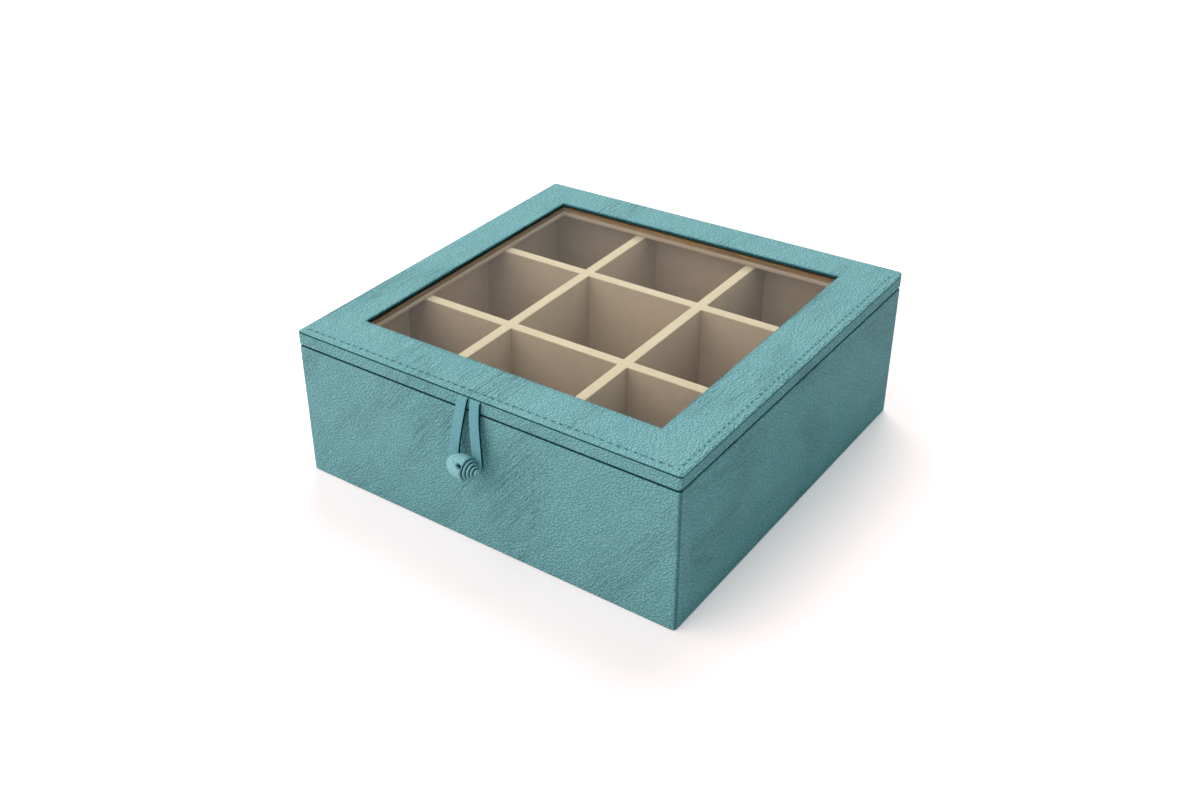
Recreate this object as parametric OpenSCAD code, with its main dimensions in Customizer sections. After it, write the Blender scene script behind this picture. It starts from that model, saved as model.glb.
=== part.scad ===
// Nine-compartment tea bag organizer box: a leather-covered board box with a
// glass-topped hinged lid, half-lapped dividers and a loop-and-toggle closure.
// Millimetres. +X is to the right along the front, -Y is the front, +Z is up.
// The origin is the middle of the underside.

/* [Box] */
// Width over the leather, left to right
outer_w = 240; // [190:1:320]
// Depth over the leather, front to back
outer_d = 240; // [190:1:320]
// Height of the body from the underside to its rim
body_h = 81.4; // [65:0.1:130]
// Radius of the upright corners over the leather
corner_r = 2.4; // [1.4:0.1:4]
// Thickness of the leather
leather_t = 1.2; // [0.8:0.1:1.6]
// Thickness of the four wall boards
wall_board_t = 7.2; // [6:0.1:10]
// Thickness of the base board
base_board_t = 5; // [3:0.5:10]
// Thickness of the suede-covered lining panels
lining_t = 1.5; // [1:0.1:2.5]
// How far the wall linings stop below the rim
lining_drop = 1; // [0.5:0.1:3]
// How far the leather is turned down inside the walls
turn_in_h = 14; // [8:0.5:20]
// How far the leather is turned in under the base
turn_under_w = 14; // [8:0.5:25]
// Gap between the base sheet and the turned-in leather
base_sheet_clearance = 0.2; // [0.1:0.1:1]

/* [Dividers] */
// Thickness of a divider over its suede
divider_t = 6; // [5:0.1:9]
// Thickness of the suede on a divider
divider_cover_t = 1; // [0.5:0.1:1.5]
// Thickness of the pale edging along the dividers' tops
edging_t = 0.5; // [0.4:0.1:1]
// Clearance on each side of a divider where two lap
lap_clearance = 0.05; // [0.02:0.01:0.3]
// Clearance between a divider's end and the lining
divider_end_clearance = 0.1; // [0.05:0.05:0.5]

/* [Lid] */
// Height of the lid over the leather
lid_h = 8.3; // [7.6:0.1:12]
// Height of the groove between body and lid
lid_gap = 1; // [0.8:0.1:2]
// How far the groove is set in from the outer faces
groove_depth = 3; // [2:0.1:5]
// Leather border in front of the window
window_margin_front = 29.5; // [24:0.1:45]
// Leather border behind the window
window_margin_back = 23.8; // [20:0.1:45]
// Leather border left of the window
window_margin_left = 24.4; // [20:0.1:45]
// Leather border right of the window
window_margin_right = 28.1; // [20:0.1:45]
// Thickness of the card under the top leather
top_card_t = 0.5; // [0.4:0.1:1]
// Thickness of the glass
glass_t = 1.5; // [1.2:0.1:2.5]
// How far the glass reaches under the card on each side
glass_overlap = 4; // [2:0.5:7]
// Clearance around the edge of the glass
glass_clearance = 0.3; // [0.1:0.1:1]
// How far the lid leather is turned in underneath
lid_turn_under_w = 12; // [8:0.5:16]
// Height of the lining's turned-up lip in the window
lip_h = 1.9; // [1:0.1:2.6]
// Thickness of that lip
lip_t = 1; // [0.6:0.1:1.6]

/* [Hinges] */
// Length of a hinge
hinge_l = 30; // [24:1:45]
// Distance from a side face of the box to the middle of the nearer hinge
hinge_inset = 50; // [30:1:65]
// How far a leaf is let into the rim
leaf_w = 6.8; // [6:0.1:8]
// Outer radius of the hinge barrel
knuckle_r = 2.2; // [2:0.1:3]
// Gap between the barrel and the back face
barrel_clearance = 0.4; // [0.3:0.1:1]
// Gap between neighbouring knuckles
knuckle_gap = 0.2; // [0.1:0.05:0.5]
// Radius of the hinge pin
pin_r = 1; // [0.8:0.05:1.2]
// Running clearance of the lid knuckle on the pin
pin_clearance = 0.05; // [0.02:0.01:0.1]
// Angle at which the stop flanges meet
open_angle = 95; // [90:1:110]
// Width of a stop flange
flange_w = 3.6; // [2.5:0.1:5]
// Thickness of a stop flange
flange_t = 1.1; // [0.8:0.1:1.6]
// Radius of a screw's shank
screw_r = 0.8; // [0.6:0.05:1]
// Radius of a screw's head
screw_head_r = 1.6; // [1.3:0.05:1.9]
// Length of a screw
screw_l = 5.6; // [4:0.1:6]

/* [Closure] */
// Width of one arm of the loop
loop_w = 6; // [4:0.1:8]
// Thickness of the loop
loop_t = 1.3; // [1:0.1:2]
// Gap between the two arms where they leave the lid
loop_gap = 1.2; // [0.6:0.1:3]
// Gap between the two arms just above the thong
loop_opening = 9.6; // [8:0.1:12]
// How far the loop's middle stands off the front face at its knee
loop_knee_out = 3.4; // [2.5:0.1:4]
// How far below its fold the loop has its knee
loop_knee_drop = 13; // [8:0.5:18]
// How far the loop's middle stands off the front face at the thong
loop_end_out = 5.8; // [5:0.1:7]
// Width of the loop where it passes under the thong
loop_bottom_w = 4.2; // [3:0.1:5]
// Length of the loop's ends under the top leather
loop_tail_l = 22; // [12:1:24]
// Thickness of the loop's pared ends
loop_tail_t = 1; // [0.8:0.1:1.2]
// How far below the rim the thong leaves the front
thong_drop = 27.9; // [24:0.1:40]
// Radius of the thong
thong_r = 1.6; // [1.2:0.1:2.4]
// Clearance of the thong in the roll
thong_clearance = 0.05; // [0.02:0.01:0.1]
// Clearance of the loop around the thong
loop_clearance = 0.4; // [0.3:0.1:1]
// Radius of the thong's flat tail behind the front board
thong_tail_r = 9; // [6:0.5:12]
// Largest radius of the rolled toggle
toggle_r = 6.4; // [5.8:0.1:7.5]
// Length of the rolled toggle
toggle_l = 20; // [17:0.1:24]
// How much further the roll reaches to the right than to the left
toggle_lead = 6; // [0:0.1:8]
// Distance from the front face to the middle of the roll
toggle_out = 11.2; // [10.5:0.1:14]
// How far the middle of the roll is above the thong
toggle_rise = 2.6; // [0:0.1:2.6]
// Gap between the loop and the flattened back of the roll
toggle_clearance = 0.4; // [0.3:0.1:1]

/* [Hidden] */
$fn = 48;
cut = 1;                                          // how far a cutter runs past a face

// Body, from the outside in
board_out_w = outer_w - 2 * leather_t;
board_out_d = outer_d - 2 * leather_t;
board_in_w = board_out_w - 2 * wall_board_t;
board_in_d = board_out_d - 2 * wall_board_t;
clear_w = board_in_w - 2 * lining_t;
clear_d = board_in_d - 2 * lining_t;
board_r = corner_r - leather_t;
board_top = body_h - leather_t;
floor_z = leather_t + base_board_t + lining_t;

// Dividers share the clear space into three by three
pitch_x = (clear_w - 2 * divider_t) / 3 + divider_t;
pitch_y = (clear_d - 2 * divider_t) / 3 + divider_t;
divider_h = body_h - edging_t - floor_z;
lap_z = floor_z + divider_h / 2;
lining_h = body_h - lining_drop - floor_z;

// Lid, from the bottom up
lid_z = body_h + lid_gap;
total_h = lid_z + lid_h;
card_top = total_h - leather_t;
glass_top = card_top - top_card_t;
glass_z = glass_top - glass_t;
window_w = outer_w - window_margin_left - window_margin_right;
window_d = outer_d - window_margin_front - window_margin_back;
window_x = (window_margin_left - window_margin_right) / 2;
window_y = (window_margin_front - window_margin_back) / 2;

// Hinges
hinge_offset = outer_w / 2 - hinge_inset;
axis_y = outer_d / 2 + barrel_clearance + knuckle_r;
axis_z = body_h;
leaf_y = outer_d / 2 - leaf_w;
leaf_edge_y = axis_y - knuckle_r - knuckle_gap;   // where a leaf stops clear of the barrel
knuckle_l = (hinge_l - 2 * knuckle_gap) / 3;
pin_head_overhang = 0.5;
pin_head_r = pin_r + pin_head_overhang;
pin_head_l = 0.8;
stop_slack = 0.1;                                 // degrees between a stop face and its half angle
screws_per_leaf = 3;
screw_pitch = hinge_l / screws_per_leaf;
screw_y = (leaf_y + outer_d / 2) / 2;
screw_head_h = 0.8;
screw_point_h = 1.2;
screw_point_r = 0.15;
screw_slot_w = 0.4;
screw_slot_depth = 0.35;

// Closure
front_y = -outer_d / 2;
fold_r = loop_t / 2;
fold_gap = 0.1;                                   // between the fold and the lid's front
anchor_gap = 0.02;                                // between the fold and the fixed ends
fold_y = front_y - fold_gap - fold_r;
fold_z = card_top - loop_tail_t / 2;
thong_z = body_h - thong_drop;
anchor_w = loop_gap + 2 * loop_w;
anchor_nose_y = fold_y + fold_r + anchor_gap;
loop_inner_r = thong_r + loop_clearance;
loop_end_y = front_y - loop_end_out;
toggle_back_y = loop_end_y - loop_t / 2 - toggle_clearance;
toggle_y = front_y - toggle_out;
toggle_z = thong_z + toggle_rise;
thong_head_overhang = 0.6;
thong_head_r = thong_r + thong_head_overhang;
thong_head_l = 1.4;
thong_head_gap = 0.1;
thong_end_past_axis = 2.4;
thong_end_y = toggle_y - thong_end_past_axis;
thong_tail_t = leather_t;

// Roll: its body as [share of the way from the left end to the rim, share of toggle_r],
// then turns of the strip that step down to the tip
roll_profile = [[0, 0.27], [0.15, 0.56], [0.25, 0.76], [0.39, 0.9], [0.7, 1], [1, 0.98]];
roll_left = (toggle_lead - toggle_l) / 2;
roll_right = (toggle_lead + toggle_l) / 2;
roll_tip_l = 7;
roll_tip_r = 1.3;
roll_turns = 4;
roll_groove = 0.25;
roll_riser = 0.7;                                 // share of a turn's drop at its groove

// Shared shapes ------------------------------------------------------------

module rounded_rect(w, d, r) {
    square([w - 2 * r, d], center = true);
    square([w, d - 2 * r], center = true);
    for (x = [-1, 1], y = [-1, 1])
        translate([x * (w / 2 - r), y * (d / 2 - r)]) circle(r);
}

// A plate with rounded upright corners, standing on z
module slab(w, d, r, z, h) {
    translate([0, 0, z]) linear_extrude(h) rounded_rect(w, d, r);
}

// A block centred on the box's upright axis, standing on z
module block(w, d, z, h) {
    translate([-w / 2, -d / 2, z]) cube([w, d, h]);
}

// The window's upright block, widened by grow on every side
module window_block(grow, z, h) {
    translate([window_x, window_y, 0]) block(window_w + 2 * grow, window_d + 2 * grow, z, h);
}

module along_y(y, z) {
    translate([0, y, z]) rotate([90, 0, 0]) children();
}

// Base and walls -----------------------------------------------------------

module base_sheet() {
    inset = turn_under_w + base_sheet_clearance;
    color("#3b3a38") block(outer_w - 2 * inset, outer_d - 2 * inset, 0, leather_t);
}

module base_board() {
    color("#a9814f") block(board_in_w, board_in_d, leather_t, base_board_t);
}

module wall_envelope() {
    difference() {
        slab(board_out_w, board_out_d, board_r, leather_t, board_top - leather_t);
        block(board_in_w + 2 * leather_t, board_in_d + 2 * leather_t, body_h - turn_in_h, turn_in_h);
    }
}

// Front or back board: side is -1 for the front and 1 for the back
module long_board(side) {
    intersection() {
        wall_envelope();
        translate([0, side * (board_out_d - wall_board_t) / 2, 0])
            block(board_out_w + cut, wall_board_t, 0, body_h);
    }
}

// Left or right board: side is -1 for the left and 1 for the right
module short_board(side) {
    intersection() {
        wall_envelope();
        translate([side * (board_out_w - wall_board_t) / 2, 0, 0])
            block(wall_board_t, board_in_d, 0, body_h);
    }
}

module front_board() {
    color("#a9814f") difference() {
        long_board(-1);
        along_y(front_y + leather_t + wall_board_t + cut, thong_z)
            cylinder(r = thong_r, h = wall_board_t + 2 * cut);
        along_y(front_y + leather_t + wall_board_t + cut, thong_z)
            cylinder(r = thong_tail_r, h = thong_tail_t + cut);
    }
}

module back_board() {
    color("#a9814f") difference() {
        long_board(1);
        body_screw_places() screw();
    }
}

module left_board() {
    color("#a9814f") short_board(-1);
}

module right_board() {
    color("#a9814f") short_board(1);
}

// One sheet round the four walls, turned in over the rim and under the base
module body_leather() {
    color("#5f9ea3") difference() {
        union() {
            difference() {
                slab(outer_w, outer_d, corner_r, 0, body_h);
                slab(board_out_w, board_out_d, board_r, leather_t, board_top - leather_t);
                block(board_in_w, board_in_d, body_h - turn_in_h, turn_in_h + cut);
                block(outer_w - 2 * turn_under_w, outer_d - 2 * turn_under_w, -cut, leather_t + 2 * cut);
            }
            difference() {
                block(board_in_w + 2 * leather_t, board_in_d + 2 * leather_t, body_h - turn_in_h, turn_in_h);
                block(board_in_w, board_in_d, 0, body_h + cut);
            }
        }
        for (side = [-1, 1])
            translate([side * hinge_offset - hinge_l / 2, leaf_y, board_top])
                cube([hinge_l, leaf_w + cut, leather_t + cut]);
        along_y(front_y + leather_t + cut, thong_z) cylinder(r = thong_r, h = leather_t + 2 * cut);
    }
}

// Linings ------------------------------------------------------------------

module floor_lining() {
    color("#8a7a65") block(board_in_w, board_in_d, floor_z - lining_t, lining_t);
}

module long_lining(side) {
    translate([0, side * (board_in_d - lining_t) / 2, 0])
        block(board_in_w, lining_t, floor_z, lining_h);
}

module short_lining(side) {
    translate([side * (board_in_w - lining_t) / 2, 0, 0])
        block(lining_t, clear_d, floor_z, lining_h);
}

module front_lining() {
    color("#8a7a65") long_lining(-1);
}

module back_lining() {
    color("#8a7a65") long_lining(1);
}

module left_lining() {
    color("#8a7a65") short_lining(-1);
}

module right_lining() {
    color("#8a7a65") short_lining(1);
}

// Dividers -----------------------------------------------------------------

// The whole divider, or its core when shrink is the cover's thickness
module divider_blank(length, shrink) {
    block(length - 2 * divider_end_clearance, divider_t - 2 * shrink, floor_z, divider_h - shrink);
}

// Slots for the two crossing dividers, up or down from half height
module lap_slots(pitch, from_top) {
    slot_w = divider_t + 2 * lap_clearance;
    for (side = [-1, 1])
        translate([side * pitch / 2, 0, 0])
            block(slot_w, divider_t + 2 * cut, from_top ? lap_z : lap_z - divider_h, divider_h);
}

module divider_core(length, pitch, from_top) {
    difference() {
        divider_blank(length, divider_cover_t);
        lap_slots(pitch, from_top);
    }
}

module divider_cover(length, pitch, from_top) {
    difference() {
        divider_blank(length, 0);
        block(length, divider_t - 2 * divider_cover_t, floor_z - cut, divider_h - divider_cover_t + cut);
        lap_slots(pitch, from_top);
    }
}

module across(side) {
    translate([0, side * pitch_y / 2, 0]) children();
}

module lengthwise(side) {
    translate([side * pitch_x / 2, 0, 0]) rotate([0, 0, 90]) children();
}

module front_divider() {
    color("#8a7358") across(-1) divider_core(clear_w, pitch_x, true);
}

module back_divider() {
    color("#8a7358") across(1) divider_core(clear_w, pitch_x, true);
}

module left_divider() {
    color("#8a7358") lengthwise(-1) divider_core(clear_d, pitch_y, false);
}

module right_divider() {
    color("#8a7358") lengthwise(1) divider_core(clear_d, pitch_y, false);
}

module front_divider_cover() {
    color("#8a7a65") across(-1) divider_cover(clear_w, pitch_x, true);
}

module back_divider_cover() {
    color("#8a7a65") across(1) divider_cover(clear_w, pitch_x, true);
}

module left_divider_cover() {
    color("#8a7a65") lengthwise(-1) divider_cover(clear_d, pitch_y, false);
}

module right_divider_cover() {
    color("#8a7a65") lengthwise(1) divider_cover(clear_d, pitch_y, false);
}

// One flush #-shaped strip along the tops of the four dividers
module divider_edging() {
    color("#ded0ae") for (side = [-1, 1]) {
        translate([0, side * pitch_y / 2, 0])
            block(clear_w - 2 * divider_end_clearance, divider_t, body_h - edging_t, edging_t);
        translate([side * pitch_x / 2, 0, 0])
            block(divider_t, clear_d - 2 * divider_end_clearance, body_h - edging_t, edging_t);
    }
}

// Lid ----------------------------------------------------------------------

// The slot under the top leather that takes the loop's two ends
module tail_slot() {
    translate([-anchor_w / 2, front_y - cut, card_top - loop_tail_t])
        cube([anchor_w, loop_tail_l + cut, loop_tail_t + cut]);
}

// The top sheet, turned down through the window to the glass
module lid_top_leather() {
    color("#8fbfc2") difference() {
        union() {
            slab(outer_w, outer_d, corner_r, card_top, leather_t);
            window_block(leather_t, glass_top, total_h - glass_top);
        }
        window_block(0, glass_top - cut, total_h);
    }
}

// The edge strip, turned in under the lid
module lid_edge_leather() {
    color("#5f9ea3") difference() {
        slab(outer_w, outer_d, corner_r, lid_z, card_top - lid_z);
        slab(board_out_w, board_out_d, board_r, lid_z + leather_t, lid_h);
        block(outer_w - 2 * lid_turn_under_w, outer_d - 2 * lid_turn_under_w, lid_z - cut, lid_h);
        tail_slot();
        lid_screw_places() screw();
    }
}

module lid_top_card() {
    color("#9c8562") difference() {
        slab(board_out_w, board_out_d, board_r, glass_top, top_card_t);
        window_block(leather_t, glass_top - cut, lid_h);
        tail_slot();
    }
}

module glass_pane() {
    color("#dfe9e6", 0.35) window_block(glass_overlap, glass_z, glass_t);
}

module lid_frame() {
    difference() {
        slab(board_out_w, board_out_d, board_r, lid_z, glass_top - lid_z);
        difference() {
            block(outer_w, outer_d, lid_z - cut, leather_t + cut);
            block(outer_w - 2 * lid_turn_under_w, outer_d - 2 * lid_turn_under_w, lid_z - cut, lid_h);
        }
        window_block(0, lid_z - cut, lid_h);
        window_block(glass_overlap + glass_clearance, glass_z, lid_h);
        window_block(lip_t, lid_z - cut, lip_h + cut);
    }
}

// One mitred rail: the frame between two outer corners and the window corners inside them
module lid_rail(corner_a, corner_b) {
    function outer(c) = [c[0] * board_out_w / 2, c[1] * board_out_d / 2];
    function inner(c) = [window_x + c[0] * window_w / 2, window_y + c[1] * window_d / 2];
    color("#9a6f3c") intersection() {
        lid_frame();
        linear_extrude(total_h)
            polygon([outer(corner_a), outer(corner_b), inner(corner_b), inner(corner_a)]);
    }
}

module lid_rail_front() {
    difference() {
        lid_rail([-1, -1], [1, -1]);
        tail_slot();
    }
}

module lid_rail_back() {
    difference() {
        lid_rail([1, 1], [-1, 1]);
        lid_screw_places() screw();
    }
}

module lid_rail_left() {
    lid_rail([-1, 1], [-1, -1]);
}

module lid_rail_right() {
    lid_rail([1, -1], [1, 1]);
}

// The lid rests on this panel, which makes the groove all round
module lid_lining() {
    color("#8a7a65") difference() {
        union() {
            block(outer_w - 2 * groove_depth, outer_d - 2 * groove_depth, body_h, lid_gap);
            window_block(lip_t, body_h, lid_gap + lip_h);
        }
        window_block(0, 0, total_h);
        for (side = [-1, 1])
            translate([side * hinge_offset - hinge_l / 2, leaf_y, body_h - cut])
                cube([hinge_l, leaf_w, lid_gap + 2 * cut]);
    }
}

// Hinges -------------------------------------------------------------------

module screw() {
    difference() {
        union() {
            translate([0, 0, -screw_head_h]) cylinder(r1 = screw_r, r2 = screw_head_r, h = screw_head_h);
            translate([0, 0, screw_point_h - screw_l]) cylinder(r = screw_r, h = screw_l - screw_point_h);
            translate([0, 0, -screw_l]) cylinder(r1 = screw_point_r, r2 = screw_r, h = screw_point_h);
        }
        translate([-screw_head_r, -screw_slot_w / 2, -screw_slot_depth])
            cube([2 * screw_head_r, screw_slot_w, screw_slot_depth + cut]);
    }
}

module screw_row(side) {
    for (i = [0:screws_per_leaf - 1])
        translate([side * hinge_offset + (i - (screws_per_leaf - 1) / 2) * screw_pitch, screw_y, 0])
            children();
}

// Body screws point down into the back board, lid screws up into the back rail
module body_screw_places() {
    for (side = [-1, 1]) screw_row(side) translate([0, 0, body_h]) children();
}

module lid_screw_places() {
    for (side = [-1, 1]) screw_row(side) translate([0, 0, body_h]) rotate([180, 0, 0]) children();
}

module screw_hole() {
    translate([0, 0, -screw_head_h]) cylinder(r1 = screw_r, r2 = screw_head_r, h = screw_head_h);
    translate([0, 0, -screw_l]) cylinder(r = screw_r, h = screw_l);
}

module hinge_screws_body() {
    color("#b8975a") body_screw_places() screw();
}

module hinge_screws_lid() {
    color("#b8975a") lid_screw_places() screw();
}

// A bar along X from x0 with length l, at the hinge axis
module axis_rod(x0, l, r) {
    translate([x0, axis_y, axis_z]) rotate([0, 90, 0]) cylinder(r = r, h = l);
}

// A stop flange behind the barrel, its meeting face at half the opening angle. up is 1
// for the lid's flange and -1 for the body's; web_from is where it starts from the axis.
module stop_flange(x0, l, up, web_from) {
    translate([x0, axis_y, axis_z])
        rotate([up * (open_angle / 2 + stop_slack), 0, 0])
            translate([0, web_from, up > 0 ? 0 : -flange_t])
                cube([l, knuckle_r + flange_w - web_from, flange_t]);
}

// One knuckle with its arm to the leaf and its web to the stop flange
module knuckle(x0, up, leaf_t) {
    axis_rod(x0, knuckle_l, knuckle_r);
    translate([x0, leaf_edge_y - cut, up > 0 ? axis_z : axis_z - leaf_t])
        cube([knuckle_l, axis_y - leaf_edge_y + cut, leaf_t]);
    stop_flange(x0, knuckle_l, up, pin_r);
}

module leaf(x_mid, up, leaf_t, knuckle_starts, bore_r) {
    x0 = x_mid - hinge_l / 2;
    difference() {
        union() {
            translate([x0, leaf_y, up > 0 ? axis_z : axis_z - leaf_t])
                cube([hinge_l, leaf_edge_y - leaf_y, leaf_t]);
            for (start = knuckle_starts) knuckle(x0 + start, up, leaf_t);
            stop_flange(x0, hinge_l, up, knuckle_r + knuckle_gap);
        }
        axis_rod(x0 - cut, hinge_l + 2 * cut, bore_r);
        for (i = [0:screws_per_leaf - 1])
            translate([x_mid + (i - (screws_per_leaf - 1) / 2) * screw_pitch, screw_y, axis_z])
                rotate([up > 0 ? 180 : 0, 0, 0]) screw_hole();
    }
}

module body_leaf(side) {
    color("#c2a05e")
        leaf(side * hinge_offset, -1, leather_t, [0, 2 * (knuckle_l + knuckle_gap)], pin_r);
}

module lid_leaf(side) {
    color("#c2a05e")
        leaf(side * hinge_offset, 1, lid_gap, [knuckle_l + knuckle_gap], pin_r + pin_clearance);
}

module hinge_leaf_body_left() {
    body_leaf(-1);
}

module hinge_leaf_body_right() {
    body_leaf(1);
}

module hinge_leaf_lid_left() {
    lid_leaf(-1);
}

module hinge_leaf_lid_right() {
    lid_leaf(1);
}

module hinge_pin(side) {
    x0 = side * hinge_offset - hinge_l / 2;
    color("#b8975a") {
        axis_rod(x0, hinge_l, pin_r);
        axis_rod(x0 - pin_head_l, pin_head_l, pin_head_r);
        axis_rod(x0 + hinge_l, pin_head_l, pin_head_r);
    }
}

module hinge_pin_left() {
    hinge_pin(-1);
}

module hinge_pin_right() {
    hinge_pin(1);
}

// Closure ------------------------------------------------------------------

// The thong: a flat tail behind the front board, the neck, and a head held in the roll
module toggle_thong() {
    tail_y = front_y + leather_t + wall_board_t;
    color("#6fa9ae") {
        along_y(tail_y, thong_z) cylinder(r = thong_tail_r, h = thong_tail_t);
        along_y(tail_y, thong_z) cylinder(r = thong_r, h = tail_y - thong_end_y);
        along_y(thong_end_y + thong_head_l, thong_z) cylinder(r = thong_head_r, h = thong_head_l);
    }
}

// Half the roll's outline, [along X from the thong, radius]
function roll_outline() = let (
    rim_x = roll_right - roll_tip_l,
    rim_r = toggle_r * roll_profile[len(roll_profile) - 1][1],
    turn_l = roll_tip_l / roll_turns,
    turn_drop = (rim_r - roll_tip_r) / roll_turns
) concat(
    [[roll_left, 0]],
    [for (p = roll_profile) [roll_left + p[0] * (rim_x - roll_left), p[1] * toggle_r]],
    [for (i = [0:roll_turns - 1], end = [0, 1])
        [rim_x + (i + end) * turn_l, rim_r - (i + roll_riser + (1 - roll_riser) * end) * turn_drop
            - (1 - end) * roll_groove]],
    [[roll_right, 0]]
);

module toggle_roll() {
    color("#7fb3b8") difference() {
        translate([0, toggle_y, toggle_z]) rotate([0, 90, 0])
            rotate_extrude() polygon([for (p = roll_outline()) [p[1], p[0]]]);
        translate([-toggle_l, toggle_back_y, toggle_z - 2 * toggle_r])
            cube([2 * toggle_l, 2 * toggle_r, 4 * toggle_r]);
        along_y(toggle_back_y + cut, thong_z)
            cylinder(r = thong_r + thong_clearance, h = toggle_back_y + cut - thong_end_y);
        along_y(thong_end_y + thong_head_l + thong_head_gap, thong_z)
            cylinder(r = thong_head_r + thong_head_gap, h = thong_head_l + 2 * thong_head_gap);
    }
}

// Side view of the loop's middle line: down from its fold, past the knee, to its bottom edge
function loop_side() = [
    [fold_y, fold_z],
    [front_y - loop_knee_out, fold_z - loop_knee_drop],
    [loop_end_y, thong_z],
    [loop_end_y, thong_z - loop_inner_r - loop_bottom_w - cut]
];

// Front view of the loop's outer or inner edge: two straight arms and a half-ellipse below
function loop_edge(top_half_w, end_half_w, depth) = concat(
    [[-top_half_w, fold_z + loop_t]],
    [for (a = [180:15:360]) [end_half_w * cos(a), thong_z + depth * sin(a)]],
    [[top_half_w, fold_z + loop_t]]
);

function unit_normal(a, b) = [a[1] - b[1], b[0] - a[0]] / norm(b - a);

// Where the strip's side passes point i of its middle line, for a half thickness of 1
function side_offset(points, i) = let (
    last = len(points) - 1,
    before = unit_normal(points[max(i - 1, 0)], points[max(i, 1)]),
    after = unit_normal(points[min(i, last - 1)], points[min(i + 1, last)])
) (before + after) / (1 + before * after);

function turned(v, angle) = [v[0] * cos(angle) - v[1] * sin(angle), v[0] * sin(angle) + v[1] * cos(angle)];

// A strip of even thickness along a bent middle line, its first end rounded in flats
module strip_side(points) {
    last = len(points) - 1;
    flats = 6;
    start = -unit_normal(points[0], points[1]);
    polygon(concat(
        [for (i = [0:last]) points[i] + fold_r * side_offset(points, i)],
        [for (i = [last:-1:0]) points[i] - fold_r * side_offset(points, i)],
        [for (k = [1:flats - 1]) points[0] + fold_r * turned(start, -180 * k / flats)]
    ));
}

module closure_loop() {
    half_w = loop_gap / 2 + loop_w;
    color("#7fb3b8") intersection() {
        translate([-2 * half_w, 0, 0]) rotate([90, 0, 90])
            linear_extrude(4 * half_w) strip_side(loop_side());
        translate([0, front_y, 0]) rotate([90, 0, 0])
            linear_extrude(toggle_out) difference() {
                polygon(loop_edge(half_w, loop_opening / 2 + loop_w, loop_inner_r + loop_bottom_w));
                polygon(loop_edge(loop_gap / 2, loop_opening / 2, loop_inner_r));
            }
    }
}

// The loop's two ends, glued in their slot under the top leather
module loop_anchor() {
    color("#7fb3b8") for (side = [-1, 1])
        translate([side * (loop_gap + loop_w) / 2 - loop_w / 2, anchor_nose_y, card_top - loop_tail_t])
            cube([loop_w, front_y + loop_tail_l - anchor_nose_y, loop_tail_t]);
}

base_sheet();
base_board();
front_board();
back_board();
left_board();
right_board();
body_leather();
floor_lining();
front_lining();
back_lining();
left_lining();
right_lining();
front_divider();
back_divider();
left_divider();
right_divider();
front_divider_cover();
back_divider_cover();
left_divider_cover();
right_divider_cover();
divider_edging();
toggle_thong();
toggle_roll();
closure_loop();
loop_anchor();
lid_top_leather();
lid_edge_leather();
lid_top_card();
glass_pane();
lid_rail_front();
lid_rail_back();
lid_rail_left();
lid_rail_right();
lid_lining();
hinge_leaf_body_left();
hinge_leaf_body_right();
hinge_leaf_lid_left();
hinge_leaf_lid_right();
hinge_pin_left();
hinge_pin_right();
hinge_screws_body();
hinge_screws_lid();
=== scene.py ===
# Nine-compartment tea bag box in teal leather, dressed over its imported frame.
# Lengths are in metres; mm turns a number of millimetres into metres.
import math

import bmesh
import bpy
from mathutils import Matrix, Vector, geometry, noise


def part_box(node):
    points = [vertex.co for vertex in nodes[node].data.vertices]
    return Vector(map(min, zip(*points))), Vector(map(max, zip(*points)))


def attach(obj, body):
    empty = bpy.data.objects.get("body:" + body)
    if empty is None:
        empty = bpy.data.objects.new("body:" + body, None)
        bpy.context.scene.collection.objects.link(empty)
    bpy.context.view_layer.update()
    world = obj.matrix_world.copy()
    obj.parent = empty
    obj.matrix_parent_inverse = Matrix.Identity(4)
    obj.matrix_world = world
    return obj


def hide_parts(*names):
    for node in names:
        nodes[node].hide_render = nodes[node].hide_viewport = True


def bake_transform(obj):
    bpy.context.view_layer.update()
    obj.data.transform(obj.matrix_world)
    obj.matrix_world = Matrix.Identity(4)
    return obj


mm = 0.001
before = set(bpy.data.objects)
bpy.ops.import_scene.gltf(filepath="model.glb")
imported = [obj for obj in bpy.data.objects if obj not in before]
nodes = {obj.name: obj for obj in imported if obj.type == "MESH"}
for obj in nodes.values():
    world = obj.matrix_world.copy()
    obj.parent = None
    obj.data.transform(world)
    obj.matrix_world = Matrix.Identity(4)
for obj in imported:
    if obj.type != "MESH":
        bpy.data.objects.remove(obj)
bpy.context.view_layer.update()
scene = bpy.context.scene
print("frame loaded:", len(nodes), "nodes")


# shared helpers for objects and node trees


def addObject(name, data):
    obj = bpy.data.objects.new(name, data)
    scene.collection.objects.link(obj)
    return obj


def addMesh(name, bm, material):
    mesh = bpy.data.meshes.new(name)
    bm.to_mesh(mesh)
    bm.free()
    mesh.materials.append(material)
    return addObject(name, mesh)


def move(bm, verts, vec):
    bmesh.ops.translate(bm, verts=verts, vec=vec)


def squareSheet(half, z):
    bm = bmesh.new()
    bmesh.ops.create_grid(bm, x_segments=1, y_segments=1, size=half)
    move(bm, bm.verts, (0, 0, z))
    return bm


def feed(tree, socket, value):  # a plain value, or a link from another node's output
    if isinstance(value, bpy.types.NodeSocket):
        tree.links.new(value, socket)
    else:
        socket.default_value = (*value, 1) if socket.type == "RGBA" else value


def setInputs(tree, node, values):
    for label, value in values.items():
        feed(tree, node.inputs[label], value)


def newNode(tree, kind, values):
    node = tree.nodes.new(kind)
    setInputs(tree, node, values)
    return node


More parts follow.
